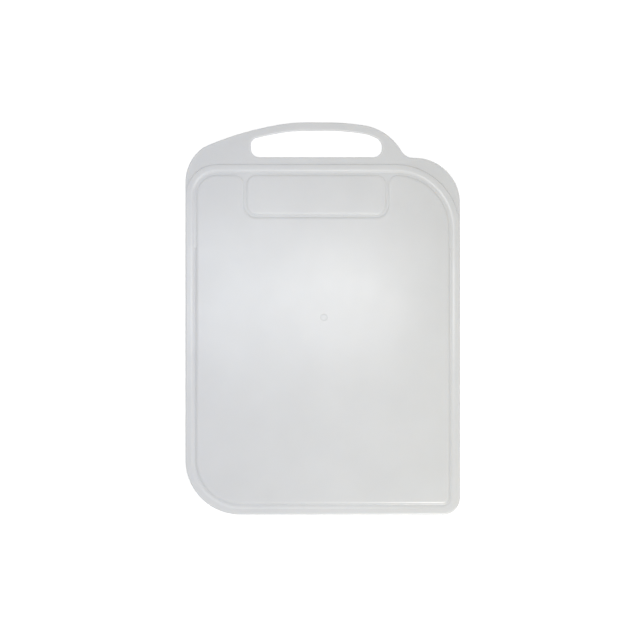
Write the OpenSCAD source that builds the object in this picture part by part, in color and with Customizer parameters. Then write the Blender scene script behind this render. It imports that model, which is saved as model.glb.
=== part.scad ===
// Moulded plastic cutting board: a thick cutting slab with a juice groove all round,
// a U-shaped groove that frames a bare panel, and a thinner handle flange with a hand slot.
// Origin at the middle of the underside, +Y towards the handle, +Z up.

/* [Board] */
// Width of the board, left to right
board_w = 280; // [260:1:320]
// Overall length, foot of the slab to top of the handle
board_l = 400; // [340:1:480]
// Thickness of the cutting slab
slab_t = 8; // [7.5:0.5:12]
// Thickness of the handle flange
flange_t = 7; // [5:0.5:7]

/* [Slab] */
// Corner radius at the foot, left
foot_left_r = 56; // [30:1:70]
// Corner radius at the foot, right
foot_right_r = 17.4; // [15:0.2:60]
// Corner radius at the step, left
step_left_r = 32; // [20:1:45]
// Corner radius at the step, right
step_right_r = 66; // [30:1:75]
// Rounding of the slab's upper edge
slab_edge_r = 2; // [1.6:0.1:2.5]
// Rounding of the slab's lower edge
slab_foot_r = 1.2; // [0.6:0.1:1.4]

/* [Juice groove] */
// Distance from the slab's edge to the bottom line of the groove
groove_inset = 10; // [9:0.5:14]
// Depth of the grooves
groove_depth = 1.5; // [1:0.1:2.5]
// Width of the grooves' steep side, bottom line to cutting surface
flank_w = 3.7; // [2.6:0.1:4.2]
// Width of the juice groove's gentle side, bottom line to rim
lead_w = 5; // [3:0.1:6]
// Radius of the grooves' bottoms
groove_r = 1.6; // [0.8:0.1:2]

/* [Panel groove] */
// Distance between the bottom lines of the panel groove's two legs
panel_w = 144.7; // [100:0.5:160]
// Distance from the juice groove to the bottom line across the panel's foot
panel_l = 43; // [30:0.5:70]
// Corner radius of the panel
panel_r = 7.7; // [4:0.1:14]
// Plan radius of the flares where the panel groove runs into the juice groove
flare_r = 7.6; // [4:0.2:12]

/* [Handle] */
// Length of the flange beyond the slab
handle_l = 42.6; // [40:0.2:60]
// Rounding of the flange's edges and of the hand slot's
flange_edge_r = 1.6; // [1.5:0.1:2.4]
// Length of the flat stretch at the top of the handle
crown_flat = 23.6; // [10:0.2:40]
// Radius of the crown, left of the flat stretch
crown_r = 153; // [120:1:180]
// Slope at which the crown passes into the left flank
crown_end = 9.2; // [7:0.1:11]
// Radius of the long left flank
flank_r = 325.4; // [300:1:360]
// Radius of the blend under the left flank
knee_r = 29.4; // [20:0.2:34]
// Direction in which the blend passes into the left corner
knee_end = 134.2; // [128:0.2:140]
// Radius of the flange's left corner
left_r = 43.7; // [38:0.1:50]
// Radius of the right shoulder
shoulder_r = 53.8; // [45:0.2:60]
// Drop of the shoulder's highest point below the crown
shoulder_drop = 2.3; // [1.5:0.1:4]
// Radius of the cove beside the handle
cove_r = 13.5; // [8:0.1:20]
// Flat stretch between the cove and the right corner
cove_flat = 1; // [0.5:0.5:8]
// Radius of the flange's right corner
right_r = 47; // [35:0.2:60]
// Drop of the flange's edge over the right corner below the crown
right_drop = 36; // [33:0.2:39]

/* [Hand slot] */
// Distance from the slot's left end to the board's left edge
slot_left_wall = 66.9; // [55:0.5:80]
// Distance from the slot's right end to the shoulder's outermost point
slot_right_wall = 27.4; // [24:0.2:34]
// Height of the slot at the middle
slot_h = 26.6; // [24:0.2:30]
// Width of the bar above the slot
bar_w = 8.9; // [8:0.1:14]
// Radius of the slot's lower left corner
slot_low_left_r = 8.6; // [6:0.2:10]
// Radius of the slot's lower right corner
slot_low_right_r = 9; // [6:0.2:9]
// Radius of the slot's upper right corner
slot_top_right_r = 10; // [5:0.2:10]
// Radius of the slot's upper left corner
slot_top_left_r = 6.6; // [5:0.2:9]

/* [Moulding] */
// Diameter of the gate mark in the middle of the cutting surface
gate_d = 6.6; // [4:0.2:10]
// Depth of the gate mark
gate_depth = 0.3; // [0.2:0.1:0.6]

/* [Hidden] */
$fn = 48;
top_y = board_l / 2;
step_y = top_y - handle_l;
half_w = board_w / 2;
// What a cutter stands clear of the faces it opens
clear = 1;
// Finest turn and longest chord between two stations of an outline
station_turn = 4;
station_run = 6;
// Steps in a groove's lip, in half its bottom and in a flange edge's rounding
lip_steps = 5;
bottom_steps = 3;
edge_steps = 3;
// How far the straight stretches of a sweep run on into its arcs
run_on = 0.002;
// How far an edge's rounding stands past the flat face, so that the two meet in a clean line
overshoot = 0.02;

// An outline is a list of circles [x, y, r] that it wraps in turn, material on its left.
// A negative radius is a cove, which the outline rounds from outside.

// Direction of the outward normal where the outline leaves circle p for circle q
function seam(p, q) =
    let (d = [q.x - p.x, q.y - p.y])
    atan2(d.y, d.x) - acos(max(-1, min(1, (p.z - q.z) / norm(d))));

function ray(a) = [cos(a), sin(a)];
function turn(a) = a - 360 * floor(a / 360);
function inset(outline, d) = [for (c = outline) [c.x, c.y, c.z - d]];

// The slab, counter-clockwise from the lower right corner
slab_outline = [
    [half_w - foot_right_r, foot_right_r - top_y, foot_right_r],
    [half_w - step_right_r, step_y - step_right_r, step_right_r],
    [step_left_r - half_w, step_y - step_left_r, step_left_r],
    [foot_left_r - half_w, foot_left_r - top_y, foot_left_r]
];

// Right side of the handle: corner, cove and shoulder, worked inwards from the board's edge
right_corner = [half_w - right_r, top_y - right_drop - right_r, right_r];
cove_centre_y = top_y - right_drop + cove_r;
shoulder_y = top_y - shoulder_drop - shoulder_r;
cove_end = asin((cove_centre_y - shoulder_y) / (shoulder_r + cove_r));
cove = [right_corner.x - cove_flat, cove_centre_y, -cove_r];
shoulder = [cove.x - (shoulder_r + cove_r) * cos(cove_end), shoulder_y, shoulder_r];

// The slot's ends, which also centre the handle's flat top and the panel
slot_left = slot_left_wall - half_w;
slot_right = shoulder.x + shoulder_r - slot_right_wall;
handle_x = (slot_left + slot_right) / 2;

// Crown: an arc each side of the flat stretch, the right one running into the shoulder
crown_right_x = handle_x + crown_flat / 2;
shoulder_run = shoulder.x - crown_right_x;
crown_right_r =
    shoulder_r + (shoulder_run * shoulder_run + shoulder_drop * shoulder_drop) / (2 * shoulder_drop);
crown_right = [crown_right_x, top_y - crown_right_r, crown_right_r];
crown_left = [handle_x - crown_flat / 2, top_y - crown_r, crown_r];

// Left side of the handle: long flank, then a blend that lands the corner on the board's edge
flank_centre = [crown_left.x, crown_left.y] - (flank_r - crown_r) * ray(90 + crown_end);
flank = [flank_centre.x, flank_centre.y, flank_r];
flank_end = acos((left_r - half_w - flank.x + (left_r - knee_r) * cos(knee_end)) / (flank_r - knee_r));
knee_centre = flank_centre + (flank_r - knee_r) * ray(flank_end);
knee = [knee_centre.x, knee_centre.y, knee_r];
left_centre = knee_centre - (left_r - knee_r) * ray(knee_end);
left_corner = [left_centre.x, left_centre.y, left_r];

// The whole moulding, counter-clockwise from the lower right corner
board_outline = [
    slab_outline[0], right_corner, cove, shoulder, crown_right, crown_left,
    flank, knee, left_corner, slab_outline[3]
];

// The slot runs parallel to the top of the handle, counter-clockwise from its lower left corner
slot_low_y = top_y - bar_w - slot_h;
slot_top_right_x = slot_right - slot_top_right_r;
slot_top_left_x = slot_left + slot_top_left_r;

// Height at x of a circle's upper half, once the circle is moved inwards by d
function crest(c, d, x) = c.y + sqrt((c.z - d) * (c.z - d) - (x - c.x) * (x - c.x));

slot_outline = [
    [slot_left + slot_low_left_r, slot_low_y + slot_low_left_r, slot_low_left_r],
    [slot_right - slot_low_right_r, slot_low_y + slot_low_right_r, slot_low_right_r],
    [slot_top_right_x, crest(shoulder, bar_w + slot_top_right_r, slot_top_right_x), slot_top_right_r],
    each inset([shoulder, crown_right, crown_left, flank], bar_w),
    [slot_top_left_x, crest(flank, bar_w + slot_top_left_r, slot_top_left_x), slot_top_left_r]
];

// Bottom lines of the two grooves
juice_line = inset(slab_outline, groove_inset);
groove_top_y = step_y - groove_inset;
panel_foot_y = groove_top_y - panel_l;
panel_line_r = panel_r + flank_w;
panel_x = round(10 * handle_x) / 10;
panel_left = panel_x - panel_w / 2;
panel_right = panel_x + panel_w / 2;
panel_line = [
    [panel_left, groove_top_y, 0],
    [panel_left + panel_line_r, panel_foot_y + panel_line_r, panel_line_r],
    [panel_right - panel_line_r, panel_foot_y + panel_line_r, panel_line_r],
    [panel_right, groove_top_y, 0]
];

// A station of a sweep is [x, y, r, a]: radius r about the point x, y, in direction a
function spot(at, out) = [at.x + (at.z + out) * cos(at[3]), at.y + (at.z + out) * sin(at[3])];

// Where two arcs run straight into each other, the first one's last station is left out
function stations(outline, closed = true) =
    let (all = every_station(outline, closed), last = len(all) - 1)
    [
        for (i = [0 : last])
            if ((!closed && i == last) || norm(spot(all[i], 0) - spot(all[(i + 1) % (last + 1)], 0)) > 0.01)
                all[i]
    ];

function every_station(outline, closed) = [
    for (i = [0 : len(outline) - 1])
        let (
            count = len(outline),
            here = outline[i],
            leaving = seam(here, outline[(i + 1) % count]),
            arriving = seam(outline[(i + count - 1) % count], here)
        )
        if (!closed && i == 0) [here.x, here.y, here.z, leaving]
        else if (!closed && i == count - 1) [here.x, here.y, here.z, arriving]
        else each bend(here, arriving, here.z > 0 ? turn(leaving - arriving) : -turn(arriving - leaving))
];

function bend(c, from, span) =
    let (steps = max(1, ceil(abs(span) / station_turn), ceil(abs(span * PI / 180 * c.z) / station_run)))
    [for (k = [0 : steps]) [c.x, c.y, c.z, from + span * k / steps]];

// Points of an outline, moved inwards
function loop(outline, depth) = [for (at = stations(outline)) spot(at, -depth)];

// Sweeps a profile along an outline of straight lines and arcs: x is the distance outwards, y the height
module sweep(outline, closed = true) {
    count = len(outline);
    for (i = [0 : count - 1]) {
        before = outline[(i + count - 1) % count];
        here = outline[i];
        next = outline[(i + 1) % count];
        leaving = seam(here, next);
        start = spot([here.x, here.y, here.z, leaving], 0);
        end = spot([next.x, next.y, next.z, leaving], 0);
        if (here.z > 0)
            corner(here, seam(before, here), leaving) children();
        if (closed || i < count - 1)
            straight(start, end, leaving) children();
    }
}

// One straight stretch of a sweep, from a to b, with the outside in the given direction
module straight(a, b, outward) {
    translate([b.x, b.y, 0])
        rotate([90, 0, outward])
            translate([0, 0, -run_on])
                linear_extrude(height = norm(b - a) + 2 * run_on)
                    children();
}

// One arc of a sweep, between two directions of its outward normal
module corner(c, from, to) {
    translate([c.x, c.y, 0])
        rotate([0, 0, from])
            rotate_extrude(angle = turn(to - from))
                translate([c.z, 0])
                    children();
}

// Joins an outline's loops into a solid. Each row is [distance inwards, height], from the lowest up.
module loft(outline, rows) {
    loops = [for (row = rows) [for (p = loop(outline, row.x)) [p.x, p.y, row.y]]];
    count = len(loops[0]);
    top = (len(rows) - 1) * count;
    walls = [
        for (j = [0 : len(rows) - 2], i = [0 : count - 1])
            let (next = (i + 1) % count)
            [(j + 1) * count + i, (j + 1) * count + next, j * count + next, j * count + i]
    ];
    polyhedron(
        points = [for (ring = loops) each ring],
        faces = concat([[for (i = [0 : count - 1]) i]], walls, [[for (i = [count - 1 : -1 : 0]) top + i]])
    );
}

// Everything outside the slab's wall, whose two edges are rounded
module slab_surround(reach) {
    difference() {
        translate([-slab_edge_r, -clear])
            square([slab_edge_r + reach, slab_t + 2 * clear]);
        translate([-slab_edge_r, slab_foot_r])
            square([slab_edge_r, slab_t - slab_foot_r - slab_edge_r]);
        translate([-slab_foot_r, slab_foot_r - overshoot])
            circle(r = slab_foot_r);
        translate([-slab_edge_r, -overshoot])
            square([slab_edge_r - slab_foot_r, slab_foot_r + overshoot]);
        translate([-slab_edge_r, slab_t - slab_edge_r + overshoot])
            circle(r = slab_edge_r);
    }
}

function arc(x, y, r, from, to, steps) =
    [for (k = [0 : steps]) let (a = from + (to - from) * k / steps) [x + r * cos(a), y + r * sin(a)]];

// Rows of the flange's rounded wall, from the underside up
flange_wall = concat(
    arc(flange_edge_r, flange_edge_r, flange_edge_r, -90, -180, edge_steps),
    arc(flange_edge_r, flange_t - flange_edge_r, flange_edge_r, 180, 90, edge_steps)
);

// A groove's flank rolls over from the surface in one arc and meets the level bottom line in another
function lip_r(width) =
    (width * width + groove_depth * groove_depth) / (2 * groove_depth) - groove_r;
function flank_slope(width) = asin(width / (lip_r(width) + groove_r));

// One flank of a groove, from its lip down to the bottom line at x = 0
function flank_points(width) = concat(
    arc(-width, slab_t - lip_r(width), lip_r(width), 90, 90 - flank_slope(width), lip_steps),
    [for (k = [1 : bottom_steps])
        let (a = -90 - flank_slope(width) * (1 - k / bottom_steps))
        [0, slab_t - groove_depth + groove_r] + groove_r * ray(a)]
);

function mirrored(points) = [for (i = [len(points) - 1 : -1 : 0]) [-points[i].x, points[i].y]];

module groove_section(inner, outer) {
    polygon(concat(
        [[-inner, slab_t + clear]],
        flank_points(inner),
        mirrored(flank_points(outer)),
        [[outer, slab_t + clear]]
    ));
}

module slab() {
    difference() {
        translate([-half_w, -top_y, 0])
            cube([board_w, board_l - handle_l, slab_t]);
        sweep(slab_outline)
            slab_surround(step_right_r);
    }
}

// The flange runs on under the slab
module flange() {
    lap_y = step_y - max(step_left_r, step_right_r) - slab_edge_r;
    slot_low = [-flange_edge_r, -clear];
    slot_high = [-flange_edge_r, flange_t + clear];
    slot_wall = [for (row = flange_wall) [-row.x, row.y]];
    intersection() {
        difference() {
            loft(board_outline, flange_wall);
            loft(slot_outline, concat([slot_low], slot_wall, [slot_high]));
        }
        translate([-board_w, lap_y, -clear])
            cube([2 * board_w, board_l, flange_t + 2 * clear]);
    }
}

module juice_groove() {
    sweep(juice_line)
        groove_section(flank_w, lead_w);
}

module panel_groove() {
    sweep(panel_line, closed = false)
        groove_section(flank_w, flank_w);
}

// Rounds a corner between the juice groove and a leg of the panel groove, down to the grooves' depth
module flare(leg_x, side) {
    mouth = flare_r + flank_w;
    translate([leg_x + side * mouth, groove_top_y - mouth, 0])
        mirror([side + 1, 0, 0])
            intersection() {
                rotate_extrude(angle = 90)
                    polygon(concat(
                        [[flare_r, slab_t + clear]],
                        [for (p = flank_points(flank_w)) [p.x + mouth, p.y]],
                        [[2 * mouth, slab_t - groove_depth], [2 * mouth, slab_t + clear]]
                    ));
                cube([mouth, mouth, slab_t + clear]);
            }
}

module gate_mark() {
    translate([0, 0, slab_t - gate_depth])
        cylinder(d = gate_d, h = gate_depth + clear);
}

module board() {
    color([0.87, 0.88, 0.88])
        difference() {
            union() {
                slab();
                flange();
            }
            juice_groove();
            panel_groove();
            for (leg_x = [panel_left, panel_right], side = [-1, 1])
                flare(leg_x, side);
            gate_mark();
        }
}

board();
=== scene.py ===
"""Looks of the moulded plastic cutting board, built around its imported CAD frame."""

import math

import bmesh
import bpy
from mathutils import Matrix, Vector
from mathutils.geometry import delaunay_2d_cdt

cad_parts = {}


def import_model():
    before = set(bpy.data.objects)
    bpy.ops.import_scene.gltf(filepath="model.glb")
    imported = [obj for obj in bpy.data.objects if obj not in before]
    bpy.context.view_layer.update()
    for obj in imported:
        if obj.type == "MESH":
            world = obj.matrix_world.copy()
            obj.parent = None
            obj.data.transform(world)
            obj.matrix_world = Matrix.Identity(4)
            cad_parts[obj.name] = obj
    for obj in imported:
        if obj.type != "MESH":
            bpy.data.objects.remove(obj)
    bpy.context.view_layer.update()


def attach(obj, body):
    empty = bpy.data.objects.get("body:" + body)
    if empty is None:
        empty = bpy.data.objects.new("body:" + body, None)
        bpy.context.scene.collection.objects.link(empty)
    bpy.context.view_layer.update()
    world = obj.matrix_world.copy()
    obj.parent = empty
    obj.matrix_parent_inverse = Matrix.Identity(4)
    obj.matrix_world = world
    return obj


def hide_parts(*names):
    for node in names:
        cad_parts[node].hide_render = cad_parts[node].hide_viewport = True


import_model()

# ---------------------------------------------------------------- sizes, in millimetres
MM = 0.001
HALF_W = 140.0
TOP_Y = 200.0
SLAB_T = 8.0
FLANGE_T = 7.0
HANDLE_L = 42.6
STEP_Y = TOP_Y - HANDLE_L

FOOT_LEFT_R = 56.0
FOOT_RIGHT_R = 17.4
STEP_LEFT_R = 32.0
STEP_RIGHT_R = 66.0
SLAB_EDGE_R = 2.0
SLAB_FOOT_R = 1.2
FLANGE_EDGE_R = 1.6

GROOVE_INSET = 10.0
GROOVE_DEPTH = 1.5
FLANK_W = 3.7
LEAD_W = 5.0
GROOVE_R = 1.6
PANEL_W = 144.7
PANEL_L = 43.0
PANEL_R = 7.7
FLARE_R = 7.6

CROWN_FLAT = 23.6
CROWN_R = 153.0
CROWN_END = 9.2
FLANK_R = 325.4
KNEE_R = 29.4
KNEE_END = 134.2
LEFT_R = 43.7
SHOULDER_R = 53.8
SHOULDER_DROP = 2.3
COVE_R = 13.5
COVE_FLAT = 1.0
RIGHT_R = 47.0
RIGHT_DROP = 36.0

BAR_W = 8.9
SLOT_H = 26.6
SLOT_LEFT_WALL = 66.9
SLOT_RIGHT_WALL = 27.4
SLOT_LOW_LEFT_R = 8.6
SLOT_LOW_RIGHT_R = 9.0
SLOT_TOP_RIGHT_R = 10.0
SLOT_TOP_LEFT_R = 6.6

GATE_AT = (1.2, 1.2)
GATE_R = 3.3
GATE_DEPTH = 0.3
GATE_EDGE = 0.7

# ---------------------------------------------------------------- fineness of the mesh
RUN_STEP = 3.0      # mm between stations on a straight line
TURN_STEP = 2.5     # degrees between stations on an arc
ARC_STEP = 4.0      # mm, the longest step on an arc
SAME_SPOT = 0.01    # mm, stations closer than this are one
FLARE_STEPS = 30
MOUTH_STEPS = 12
GATE_STEPS = 48
GATE_RINGS = 4      # rings of points on either side of the gate mark's edge
WELD = 0.003        # mm
COLLAPSE = 0.002    # mm
SHARP_ANGLE = 40    # degrees


# ---------------------------------------------------------------- outlines
# An outline is a list of circles (x, y, r) that it wraps in turn, material on its left.
# A negative radius is a cove. A station is (x, y, r, a): radius r about x, y in direction a.
def ray(a):
    """Cosine and sine of an angle in degrees."""
    return math.cos(math.radians(a)), math.sin(math.radians(a))


def seam(p, q):
    """Direction of the outline's normal on the line from one circle to the next."""
    dx, dy = q[0] - p[0], q[1] - p[1]
    lean = max(-1.0, min(1.0, (p[2] - q[2]) / math.hypot(dx, dy)))
    return math.degrees(math.atan2(dy, dx) - math.acos(lean))


def spot(at, out):
    """The point of a station, moved outwards."""
    c, s = ray(at[3])
    return at[0] + (at[2] + out) * c, at[1] + (at[2] + out) * s


def bend(circle, arriving, leaving):
    """Stations round one circle, between two directions of the outline's normal."""
    x, y, r = circle
    span = (leaving - arriving) % 360 if r > 0 else -((arriving - leaving) % 360)
    length = abs(math.radians(span) * r)
    steps = max(1, math.ceil(abs(span) / TURN_STEP), math.ceil(length / ARC_STEP))
    return [(x, y, r, arriving + span * k / steps) for k in range(steps + 1)]


def stations(outline, closed=True):
    """Stations along an outline: round its circles, and along the straight lines between them."""
    found = []
    count = len(outline)
    for i, here in enumerate(outline):
        following = outline[(i + 1) % count]
        leaving = seam(here, following)
        arriving = seam(outline[i - 1], here)
        if closed or 0 < i < count - 1:
            found += bend(here, arriving, leaving)
        elif i == 0:
            found.append((*here, leaving))
        else:
            found.append((*here, arriving))
            break
        if not closed and i == count - 1:
            break
        a, b = (*here, leaving), (*following, leaving)
        run = math.dist(spot(a, 0), spot(b, 0))
        steps = math.ceil(run / RUN_STEP)
        for k in range(1, steps):
            t = k / steps
            found.append(tuple(a[j] + (b[j] - a[j]) * t for j in range(4)))
    kept = []
    for at in found:
        if not kept or math.dist(spot(at, 0), spot(kept[-1], 0)) > SAME_SPOT:
            kept.append(at)
    if closed and math.dist(spot(kept[0], 0), spot(kept[-1], 0)) < SAME_SPOT:
        kept.pop()
    return kept


def inset(outline, depth):
    """An outline moved inwards."""
    return [(x, y, r - depth) for x, y, r in outline]


def crest(circle, x):
    """Height of a circle's upper half at x."""
    return circle[1] + math.sqrt(circle[2] ** 2 - (x - circle[0]) ** 2)


slab_outline = [
    (HALF_W - FOOT_RIGHT_R, FOOT_RIGHT_R - TOP_Y, FOOT_RIGHT_R),
    (HALF_W - STEP_RIGHT_R, STEP_Y - STEP_RIGHT_R, STEP_RIGHT_R),
    (STEP_LEFT_R - HALF_W, STEP_Y - STEP_LEFT_R, STEP_LEFT_R),
    (FOOT_LEFT_R - HALF_W, FOOT_LEFT_R - TOP_Y, FOOT_LEFT_R),
]


def handle_outline():
    """The flange's circles, right corner to left corner, and the middle of the handle."""
    right = (HALF_W - RIGHT_R, TOP_Y - RIGHT_DROP - RIGHT_R, RIGHT_R)
    cove_y = TOP_Y - RIGHT_DROP + COVE_R
    shoulder_y = TOP_Y - SHOULDER_DROP - SHOULDER_R
    rise = math.asin((cove_y - shoulder_y) / (SHOULDER_R + COVE_R))
    cove = (right[0] - COVE_FLAT, cove_y, -COVE_R)
    shoulder = (cove[0] - (SHOULDER_R + COVE_R) * math.cos(rise), shoulder_y, SHOULDER_R)
    middle = (SLOT_LEFT_WALL - HALF_W + shoulder[0] + SHOULDER_R - SLOT_RIGHT_WALL) / 2
    start = middle + CROWN_FLAT / 2
    run = shoulder[0] - start
    crown_r = SHOULDER_R + (run ** 2 + SHOULDER_DROP ** 2) / (2 * SHOULDER_DROP)
    crown_right = (start, TOP_Y - crown_r, crown_r)
    crown_left = (middle - CROWN_FLAT / 2, TOP_Y - CROWN_R, CROWN_R)
    c, s = ray(90 + CROWN_END)
    flank = (crown_left[0] - (FLANK_R - CROWN_R) * c,
             crown_left[1] - (FLANK_R - CROWN_R) * s, FLANK_R)
    c, s = ray(KNEE_END)
    lean = (LEFT_R - HALF_W - flank[0] + (LEFT_R - KNEE_R) * c) / (FLANK_R - KNEE_R)
    knee = (flank[0] + (FLANK_R - KNEE_R) * lean,
            flank[1] + (FLANK_R - KNEE_R) * math.sqrt(1 - lean ** 2), KNEE_R)
    left = (knee[0] - (LEFT_R - KNEE_R) * c, knee[1] - (LEFT_R - KNEE_R) * s, LEFT_R)
    return [right, cove, shoulder, crown_right, crown_left, flank, knee, left], middle


handle, handle_x = handle_outline()
LAP_Y = STEP_Y - 80.0    # the flange's hidden end, inside the slab
LAP_R = 6.0
flange_outline = [(HALF_W - LAP_R, LAP_Y, LAP_R)] + handle + [(LAP_R - HALF_W, LAP_Y, LAP_R)]


def slot_circles():
    """The hand slot's circles, whose upper ones run parallel to the handle's outline."""
    shoulder, crown_right, crown_left, flank = handle[2:6]
    left = SLOT_LEFT_WALL - HALF_W
    right = shoulder[0] + SHOULDER_R - SLOT_RIGHT_WALL
    low_y = TOP_Y - BAR_W - SLOT_H
    top_right_x = right - SLOT_TOP_RIGHT_R
    top_left_x = left + SLOT_TOP_LEFT_R
    bar = inset([shoulder, crown_right, crown_left, flank], BAR_W)
    return [
        (left + SLOT_LOW_LEFT_R, low_y + SLOT_LOW_LEFT_R, SLOT_LOW_LEFT_R),
        (right - SLOT_LOW_RIGHT_R, low_y + SLOT_LOW_RIGHT_R, SLOT_LOW_RIGHT_R),
        (top_right_x, crest(inset([bar[0]], SLOT_TOP_RIGHT_R)[0], top_right_x),
         SLOT_TOP_RIGHT_R),
        *bar,
        (top_left_x, crest(inset([bar[3]], SLOT_TOP_LEFT_R)[0], top_left_x),
         SLOT_TOP_LEFT_R),
    ]


slot_outline = slot_circles()

juice_line = inset(slab_outline, GROOVE_INSET)
GROOVE_TOP_Y = STEP_Y - GROOVE_INSET
PANEL_FOOT_Y = GROOVE_TOP_Y - PANEL_L
PANEL_LINE_R = PANEL_R + FLANK_W
LEG_X = (handle_x - PANEL_W / 2, handle_x + PANEL_W / 2)
panel_line = [
    (LEG_X[0], GROOVE_TOP_Y, 0.0),
    (LEG_X[0] + PANEL_LINE_R, PANEL_FOOT_Y + PANEL_LINE_R, PANEL_LINE_R),
    (LEG_X[1] - PANEL_LINE_R, PANEL_FOOT_Y + PANEL_LINE_R, PANEL_LINE_R),
    (LEG_X[1], GROOVE_TOP_Y, 0.0),
]


# ---------------------------------------------------------------- sections
def arc(x, y, r, start, stop, steps):
    """Points of an arc, as (outwards, height)."""
    points = []
    for k in range(steps + 1):
        c, s = ray(start + (stop - start) * k / steps)
        points.append((x + r * c, y + r * s))
    return points


def wall_rows(thickness, low_r, top_r):
    """A plate's wall from its underside to its top, both edges rounded."""
    low = arc(-low_r, low_r, low_r, -90, 0, 7)
    high = arc(-top_r, thickness - top_r, top_r, 0, 90, 9)
    return low + high


def lip(width):
    """Radius of a groove's lip, and how far out its arc takes over from the bottom's."""
    lip_r = (width ** 2 + GROOVE_DEPTH ** 2) / (2 * GROOVE_DEPTH) - GROOVE_R
    return lip_r, width * GROOVE_R / (lip_r + GROOVE_R)


def groove_drop(t, width):
    """Depth of a groove at a distance t from its bottom line, where its lip ends at width."""
    if t >= width:
        return 0.0
    lip_r, hand_over = lip(width)
    if t <= hand_over:
        return GROOVE_DEPTH - GROOVE_R + math.sqrt(GROOVE_R ** 2 - t ** 2)
    return lip_r - math.sqrt(lip_r ** 2 - (width - t) ** 2)


def groove_rows(width):
    """Distances from the bottom line at which the surface has a row of points."""
    hand_over = lip(width)[1]
    bottom = [hand_over * k / 4 for k in range(5)]
    flank = [hand_over + (width - hand_over) * k / 9 for k in range(1, 10)]
    return bottom + flank


# ---------------------------------------------------------------- distances
def edge_distance(outline, x, y, closed=True):
    """Distance from a point to an outline's own line."""
    best = math.inf
    count = len(outline)
    for i, here in enumerate(outline):
        following = outline[(i + 1) % count]
        leaving = seam(here, following)
        if here[2] > 0:
            arriving = seam(outline[i - 1], here)
            angle = math.degrees(math.atan2(y - here[1], x - here[0]))
            if (angle - arriving) % 360 <= (leaving - arriving) % 360:
                best = min(best, abs(math.hypot(x - here[0], y - here[1]) - here[2]))
        if not closed and i == count - 1:
            break
        a, b = spot((*here, leaving), 0), spot((*following, leaving), 0)
        length = math.dist(a, b)
        t = ((x - a[0]) * (b[0] - a[0]) + (y - a[1]) * (b[1] - a[1])) / length ** 2
        t = max(0.0, min(1.0, t))
        foot = (a[0] + (b[0] - a[0]) * t, a[1] + (b[1] - a[1]) * t)
        best = min(best, math.dist((x, y), foot))
    return best


def field_height(x, y):
    """Height of the cutting surface inside the juice groove's bottom line."""
    a = edge_distance(juice_line, x, y) - FLANK_W
    b = edge_distance(panel_line, x, y, closed=False) - FLANK_W
    if a < FLARE_R and b < FLARE_R:
        land = FLARE_R - math.hypot(FLARE_R - a, FLARE_R - b)
    else:
        land = min(a, b)
    drop = groove_drop(max(0.0, FLANK_W + land), FLANK_W)
    gate = math.dist((x, y), GATE_AT) - GATE_R
    if gate < GATE_EDGE:
        t = max(0.0, min(1.0, (GATE_EDGE - gate) / (2 * GATE_EDGE)))
        drop += GATE_DEPTH * t * t * (3 - 2 * t)
    return SLAB_T - drop


# ---------------------------------------------------------------- meshes
class Shell:
    """Collects faces by their corners' places, so that patches which meet share vertices."""

    def __init__(self):
        self.places, self.index, self.faces = [], {}, []

    def vertex(self, x, y, z):
        key = (round(x, 3), round(y, 3), round(z, 3))
        if key not in self.index:
            self.index[key] = len(self.places)
            self.places.append((x * MM, y * MM, z * MM))
        return self.index[key]

    def face(self, corners):
        ids = [self.vertex(*c) for c in corners]
        ids = [v for k, v in enumerate(ids) if v != ids[k - 1]]
        if len(ids) > 2:
            self.faces.append(ids)

    def loft(self, route, rows, outside=True):
        """Quads between a wall's rows, all round a closed route."""
        for i, at in enumerate(route):
            after = route[(i + 1) % len(route)]
            for low, high in zip(rows, rows[1:]):
                quad = [(*spot(at, low[0]), low[1]), (*spot(after, low[0]), low[1]),
                        (*spot(after, high[0]), high[1]), (*spot(at, high[0]), high[1])]
                self.face(quad if outside else quad[::-1])

    def sheet(self, points, loops, height, up=True, hole=None):
        """A triangulated sheet over points, bounded by loops of points."""
        flat, edges = [], []
        for ring in loops:
            start = len(flat)
            flat += [Vector(p) for p in ring]
            edges += [(start + k, start + (k + 1) % len(ring)) for k in range(len(ring))]
        flat += [Vector(p) for p in points]
        verts, _, faces, *_ = delaunay_2d_cdt(flat, edges, [], 1, 1e-5)
        for f in faces:
            corners = [verts[v] for v in f]
            mid = sum(corners, Vector((0, 0))) / len(corners)
            if hole and hole(mid):
                continue
            solid = [(v.x, v.y, height(v.x, v.y)) for v in corners]
            turn = (corners[1] - corners[0]).cross(corners[2] - corners[0])
            self.face(solid if (turn > 0) == up else solid[::-1])

    def build(self, name):
        mesh = bpy.data.meshes.new(name)
        mesh.from_pydata(self.places, [], self.faces)
        mesh.validate()
        obj = bpy.data.objects.new(name, mesh)
        bpy.context.scene.collection.objects.link(obj)
        return obj


def inside(ring, p):
    """Is a point inside a ring of points?"""
    odd = False
    for k, b in enumerate(ring):
        a = ring[k - 1]
        if (a[1] > p.y) != (b[1] > p.y):
            crossing = (b[0] - a[0]) * (p.y - a[1]) / (b[1] - a[1]) + a[0]
            if p.x < crossing:
                odd = not odd
    return odd


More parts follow.
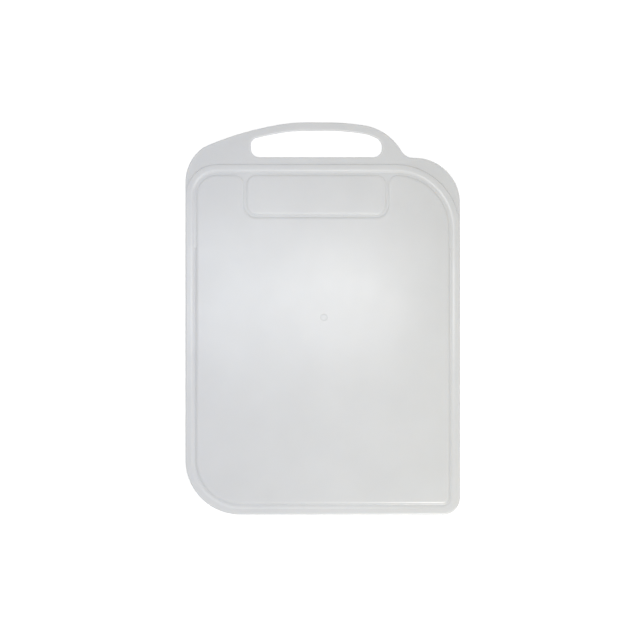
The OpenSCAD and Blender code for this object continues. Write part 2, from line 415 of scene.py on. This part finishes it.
def field_points():
    """Rows of points along the grooves, fans round the flares and rings round the gate mark."""
    points = []
    rows = groove_rows(FLANK_W)[1:]
    mouth = FLANK_W + FLARE_R
    past_mouth = mouth + 0.05
    for at in stations(juice_line):
        for t in rows:
            x, y = spot(at, -t)
            if edge_distance(panel_line, x, y, closed=False) > past_mouth:
                points.append((x, y))
    for at in stations(panel_line, closed=False):
        for t in [0.0] + rows:
            for side in (-1, 1):
                x, y = spot(at, side * t)
                if edge_distance(juice_line, x, y) > past_mouth:
                    points.append((x, y))
    for leg in LEG_X:
        points += [(leg, GROOVE_TOP_Y - mouth * k / MOUTH_STEPS)
                   for k in range(1, MOUTH_STEPS + 1)]
        for side in (-1, 1):
            cx, cy = leg + side * mouth, GROOVE_TOP_Y - mouth
            for t in rows:
                for k in range(FLARE_STEPS + 1):
                    c, s = ray(90 * k / FLARE_STEPS)
                    r = mouth - t
                    points.append((cx - side * r * c, cy + r * s))
            for k in range(1, MOUTH_STEPS):
                for j in range(1, MOUTH_STEPS):
                    x, y = mouth * k / MOUTH_STEPS, mouth * j / MOUTH_STEPS
                    if math.hypot(x, y) > mouth + 0.3:
                        points.append((cx - side * x, cy + y))
    points.append(GATE_AT)
    for k in range(GATE_STEPS):
        c, s = ray(360 * k / GATE_STEPS)
        for step in range(-GATE_RINGS, GATE_RINGS + 1):
            r = GATE_R + GATE_EDGE * step / GATE_RINGS
            points.append((GATE_AT[0] + r * c, GATE_AT[1] + r * s))
    return points


def slab_solid():
    """The thick slab: wall, outer side of the juice groove, grooved field and underside."""
    route = stations(slab_outline)
    outer = [(-GROOVE_INSET + t, SLAB_T - groove_drop(t, LEAD_W))
             for t in groove_rows(LEAD_W)[::-1]]
    rows = wall_rows(SLAB_T, SLAB_FOOT_R, SLAB_EDGE_R) + outer
    shell = Shell()
    shell.loft(route, rows)
    bottom_line = [spot(at, -GROOVE_INSET) for at in route]
    shell.sheet(field_points(), [bottom_line], field_height)
    foot_line = [spot(at, -SLAB_FOOT_R) for at in route]
    shell.sheet([], [foot_line], lambda x, y: 0.0, up=False)
    return shell.build("slab_shell")


def flange_solid():
    """The thinner handle flange with its slot, which laps under the slab."""
    route = stations(flange_outline)
    slot = stations(slot_outline)
    rows = wall_rows(FLANGE_T, FLANGE_EDGE_R, FLANGE_EDGE_R)
    slot_rows = [(-u, z) for u, z in rows]
    shell = Shell()
    shell.loft(route, rows)
    shell.loft(slot, slot_rows, outside=False)
    edge = [spot(at, -FLANGE_EDGE_R) for at in route]
    rim = [spot(at, FLANGE_EDGE_R) for at in slot]
    for height, up in ((FLANGE_T, True), (0.0, False)):
        shell.sheet([], [edge, rim], lambda x, y, z=height: z, up=up,
                    hole=lambda p: inside(rim, p))
    return shell.build("flange_shell")


def weld(mesh):
    """Merges the doubled corners, so that every edge has two faces."""
    bm = bmesh.new()
    bm.from_mesh(mesh)
    bmesh.ops.remove_doubles(bm, verts=bm.verts, dist=WELD * MM)
    bmesh.ops.dissolve_degenerate(bm, edges=bm.edges, dist=COLLAPSE * MM)
    bm.to_mesh(mesh)
    bm.free()


def joined(name, first, second):
    """One watertight mesh from two that overlap and share faces.

    Both are welded first. Without that the exact solver leaves thousands of open edges, and
    the manifold solver used here leaves the second shell out.
    """
    weld(first.data)
    weld(second.data)
    union = first.modifiers.new("union", "BOOLEAN")
    union.operation = "UNION"
    union.solver = "MANIFOLD"
    union.object = second
    graph = bpy.context.evaluated_depsgraph_get()
    mesh = bpy.data.meshes.new_from_object(first.evaluated_get(graph))
    mesh.name = name
    mesh.materials.clear()
    for old in (first, second):
        bpy.data.objects.remove(old)
    weld(mesh)
    obj = bpy.data.objects.new(name, mesh)
    bpy.context.scene.collection.objects.link(obj)
    return obj


def shade(obj):
    """Smooth shading that keeps broad faces flat and crisp inner corners sharp."""
    obj.data.shade_smooth()
    obj.data.set_sharp_from_angle(angle=math.radians(SHARP_ANGLE))
    weigh = obj.modifiers.new("face_weighted", "WEIGHTED_NORMAL")
    weigh.keep_sharp = True
    weigh.weight = 100


# ---------------------------------------------------------------- materials
MIX_FACTOR, MIX_A, MIX_B, MIX_COLOUR = 0, 6, 7, 2    # sockets of a colour Mix node

# Satin translucent plastic, tuned by brightness against the photo.
PLASTIC = {
    "IOR": 1.49,
    "Specular IOR Level": 0.9,
    "Coat Weight": 0.6,
    "Coat Roughness": 0.32,
    "Subsurface Weight": 1.0,
    "Subsurface Radius": (1.0, 0.95, 0.88),
    "Subsurface Scale": 0.003,
}
# A lower limit of 0.27 leaves darker patches in the denoised picture. 0.285 leaves none.
ROUGHNESS = (0.285, 0.345)
TINT_DARK = (0.784, 0.786, 0.788, 1)
TINT_LIGHT = (0.806, 0.808, 0.810, 1)
# The photo is bluish at the left and warm at the right. This drift copies its light: the
# real plastic has one colour.
PAINTED_LIGHT_SPAN_X = 0.12
PAINTED_BLUE_LIGHT_LEFT = (0.978, 0.986, 1.010, 1)
PAINTED_WARM_LIGHT_RIGHT = (1.0, 1.0, 0.984, 1)
PAPER = (0.84, 0.84, 0.84, 1)
PAPER_GLOW = 0.6


class Nodes:
    """Short ways to add and link shader nodes."""

    def __init__(self, name):
        self.material = bpy.data.materials.new(name)
        self.material.use_nodes = True
        self.tree = self.material.node_tree
        self.tree.nodes.clear()
        self.output = self.add("ShaderNodeOutputMaterial")

    def add(self, kind, **values):
        node = self.tree.nodes.new(kind)
        for key, value in values.items():
            setattr(node, key, value)
        return node

    def link(self, source, socket, node, target):
        self.tree.links.new(source.outputs[socket], node.inputs[target])

    def noise(self, where, scale, detail, roughness=0.5):
        node = self.add("ShaderNodeTexNoise")
        node.inputs["Scale"].default_value = scale
        node.inputs["Detail"].default_value = detail
        node.inputs["Roughness"].default_value = roughness
        self.link(where, "Object", node, "Vector")
        return node

    def spread(self, source, low, high):
        """Maps the middle of a noise to a range of values."""
        node = self.add("ShaderNodeMapRange")
        node.inputs["From Min"].default_value = 0.3
        node.inputs["From Max"].default_value = 0.7
        node.inputs["To Min"].default_value = low
        node.inputs["To Max"].default_value = high
        self.link(source, "Fac", node, "Value")
        return node

    def bump(self, height, strength, distance):
        node = self.add("ShaderNodeBump")
        node.inputs["Strength"].default_value = strength
        node.inputs["Distance"].default_value = distance
        self.link(height, "Fac", node, "Height")
        return node


def board_plastic():
    n = Nodes("natural_white_plastic")
    where = n.add("ShaderNodeTexCoord")
    plastic = n.add("ShaderNodeBsdfPrincipled")
    for name, value in PLASTIC.items():
        plastic.inputs[name].default_value = value

    cloud = n.noise(where, 22.0, 3.0)
    tint = n.add("ShaderNodeValToRGB")
    tint.color_ramp.elements[0].position = 0.34
    tint.color_ramp.elements[0].color = TINT_DARK
    tint.color_ramp.elements[1].position = 0.66
    tint.color_ramp.elements[1].color = TINT_LIGHT
    n.link(cloud, "Fac", tint, "Fac")
    # Painted light: the colour runs from bluish at the left to warm at the right across the whole
    # board; the plastic itself has one colour.
    side = n.add("ShaderNodeSeparateXYZ")
    n.link(where, "Object", side, "Vector")
    drift = n.add("ShaderNodeMapRange")
    drift.inputs["From Min"].default_value = -PAINTED_LIGHT_SPAN_X
    drift.inputs["From Max"].default_value = PAINTED_LIGHT_SPAN_X
    n.link(side, "X", drift, "Value")
    painted_light_tint = n.add("ShaderNodeMix", data_type="RGBA")
    painted_light_tint.inputs[MIX_A].default_value = PAINTED_BLUE_LIGHT_LEFT
    painted_light_tint.inputs[MIX_B].default_value = PAINTED_WARM_LIGHT_RIGHT
    n.link(drift, "Result", painted_light_tint, MIX_FACTOR)
    tint_with_painted_light = n.add("ShaderNodeMix", data_type="RGBA", blend_type="MULTIPLY")
    tint_with_painted_light.inputs[MIX_FACTOR].default_value = 1.0
    n.link(tint, "Color", tint_with_painted_light, MIX_A)
    n.link(painted_light_tint, MIX_COLOUR, tint_with_painted_light, MIX_B)
    n.link(tint_with_painted_light, MIX_COLOUR, plastic, "Base Color")

    satin = n.spread(n.noise(where, 60.0, 4.0), *ROUGHNESS)
    n.link(satin, "Result", plastic, "Roughness")

    grain_bump = n.bump(n.noise(where, 2600.0, 2.0, 0.6), 0.12, 0.00006)
    ripple_bump = n.bump(n.noise(where, 240.0, 2.0), 0.10, 0.0002)
    n.link(grain_bump, "Normal", ripple_bump, "Normal")
    n.link(ripple_bump, "Normal", plastic, "Normal")
    n.link(plastic, "BSDF", n.output, "Surface")
    return n.material


def studio_white():
    """White to the camera and in reflections, with the object's shadow kept."""
    n = Nodes("studio_white")
    paper = n.add("ShaderNodeBsdfDiffuse")
    paper.inputs["Color"].default_value = PAPER
    glow = n.add("ShaderNodeEmission")
    path = n.add("ShaderNodeLightPath")
    seen = n.add("ShaderNodeMath", operation="MAXIMUM")
    n.link(path, "Is Camera Ray", seen, 0)
    n.link(path, "Is Glossy Ray", seen, 1)
    level = n.add("ShaderNodeMath", operation="MULTIPLY")
    level.inputs[1].default_value = PAPER_GLOW
    n.link(seen, "Value", level, 0)
    n.link(level, "Value", glow, "Strength")
    both = n.add("ShaderNodeAddShader")
    n.link(paper, "BSDF", both, 0)
    n.link(glow, "Emission", both, 1)
    n.link(both, "Shader", n.output, "Surface")
    return n.material


# ---------------------------------------------------------------- the board
board = joined("board_moulding", slab_solid(), flange_solid())
shade(board)
board.data.materials.append(board_plastic())
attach(board, "root")
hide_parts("board")


# ---------------------------------------------------------------- studio
FLOOR_HALF = 4
FLOOR_Z = -0.1 * MM    # in the underside's own plane it gives streaks, seen from below


def floor():
    """The white paper that the board lies on."""
    mesh = bpy.data.meshes.new("floor")
    w, z = FLOOR_HALF, FLOOR_Z
    mesh.from_pydata([(-w, -w, z), (w, -w, z), (w, w, z), (-w, w, z)], [], [(0, 1, 2, 3)])
    obj = bpy.data.objects.new("floor", mesh)
    bpy.context.scene.collection.objects.link(obj)
    mesh.materials.append(studio_white())


def lamp(name, place, target, size, watts, colour=(1.0, 1.0, 1.0)):
    """A round soft lamp at a place, turned to a target."""
    data = bpy.data.lights.new(name, "AREA")
    data.shape = "DISK"
    data.size = size
    data.energy = watts
    data.color = colour
    obj = bpy.data.objects.new(name, data)
    obj.location = place
    obj.rotation_euler = (Vector(target) - Vector(place)).to_track_quat("-Z", "Y").to_euler()
    bpy.context.scene.collection.objects.link(obj)


def world(strength):
    """Even light from all round, white where the camera or a reflection sees it."""
    sky = bpy.data.worlds.new("studio")
    bpy.context.scene.world = sky
    sky.use_nodes = True
    tree = sky.node_tree
    background = tree.nodes["Background"]
    background.inputs["Color"].default_value = (1, 1, 1, 1)
    path = tree.nodes.new("ShaderNodeLightPath")
    seen = tree.nodes.new("ShaderNodeMath")
    seen.operation = "MAXIMUM"
    tree.links.new(path.outputs["Is Camera Ray"], seen.inputs[0])
    tree.links.new(path.outputs["Is Glossy Ray"], seen.inputs[1])
    level = tree.nodes.new("ShaderNodeMapRange")
    level.inputs["To Min"].default_value = strength
    level.inputs["To Max"].default_value = 1.0
    tree.links.new(seen.outputs["Value"], level.inputs["Value"])
    tree.links.new(level.outputs["Result"], background.inputs["Strength"])


# The powers were fitted to the photo's brightness over the board, then corrected.
floor()
world(0.58)
lamp("key_low", (0.15, -0.48, 0.38), (-0.02, 0.19, 0.0), 0.12, 0.68, (1.0, 1.0, 0.97))
lamp("fill_left", (-0.10, 0.03, 0.40), (-0.10, 0.03, 0.0), 0.16, 0.14, (0.90, 0.95, 1.0))
lamp("overhead", (0.03, 0.03, 0.34), (0.01, 0.03, 0.0), 0.12, 0.115)

# ---------------------------------------------------------------- camera
CAMERA_HEIGHT = 4.0
FRAME_W = 0.652                # width seen at the cutting surface
CENTRE = (-0.0028, -0.0015)    # the photo's centre on the board
SENSOR = 36.0
lens = bpy.data.cameras.new("camera")
lens.sensor_width = SENSOR
lens.lens = SENSOR * (CAMERA_HEIGHT - SLAB_T * MM) / FRAME_W
lens.clip_end = 20.0
camera = bpy.data.objects.new("camera", lens)
camera.location = (CENTRE[0], CENTRE[1], CAMERA_HEIGHT)
bpy.context.scene.collection.objects.link(camera)
bpy.context.scene.camera = camera
bpy.context.scene.view_settings.view_transform = "Standard"
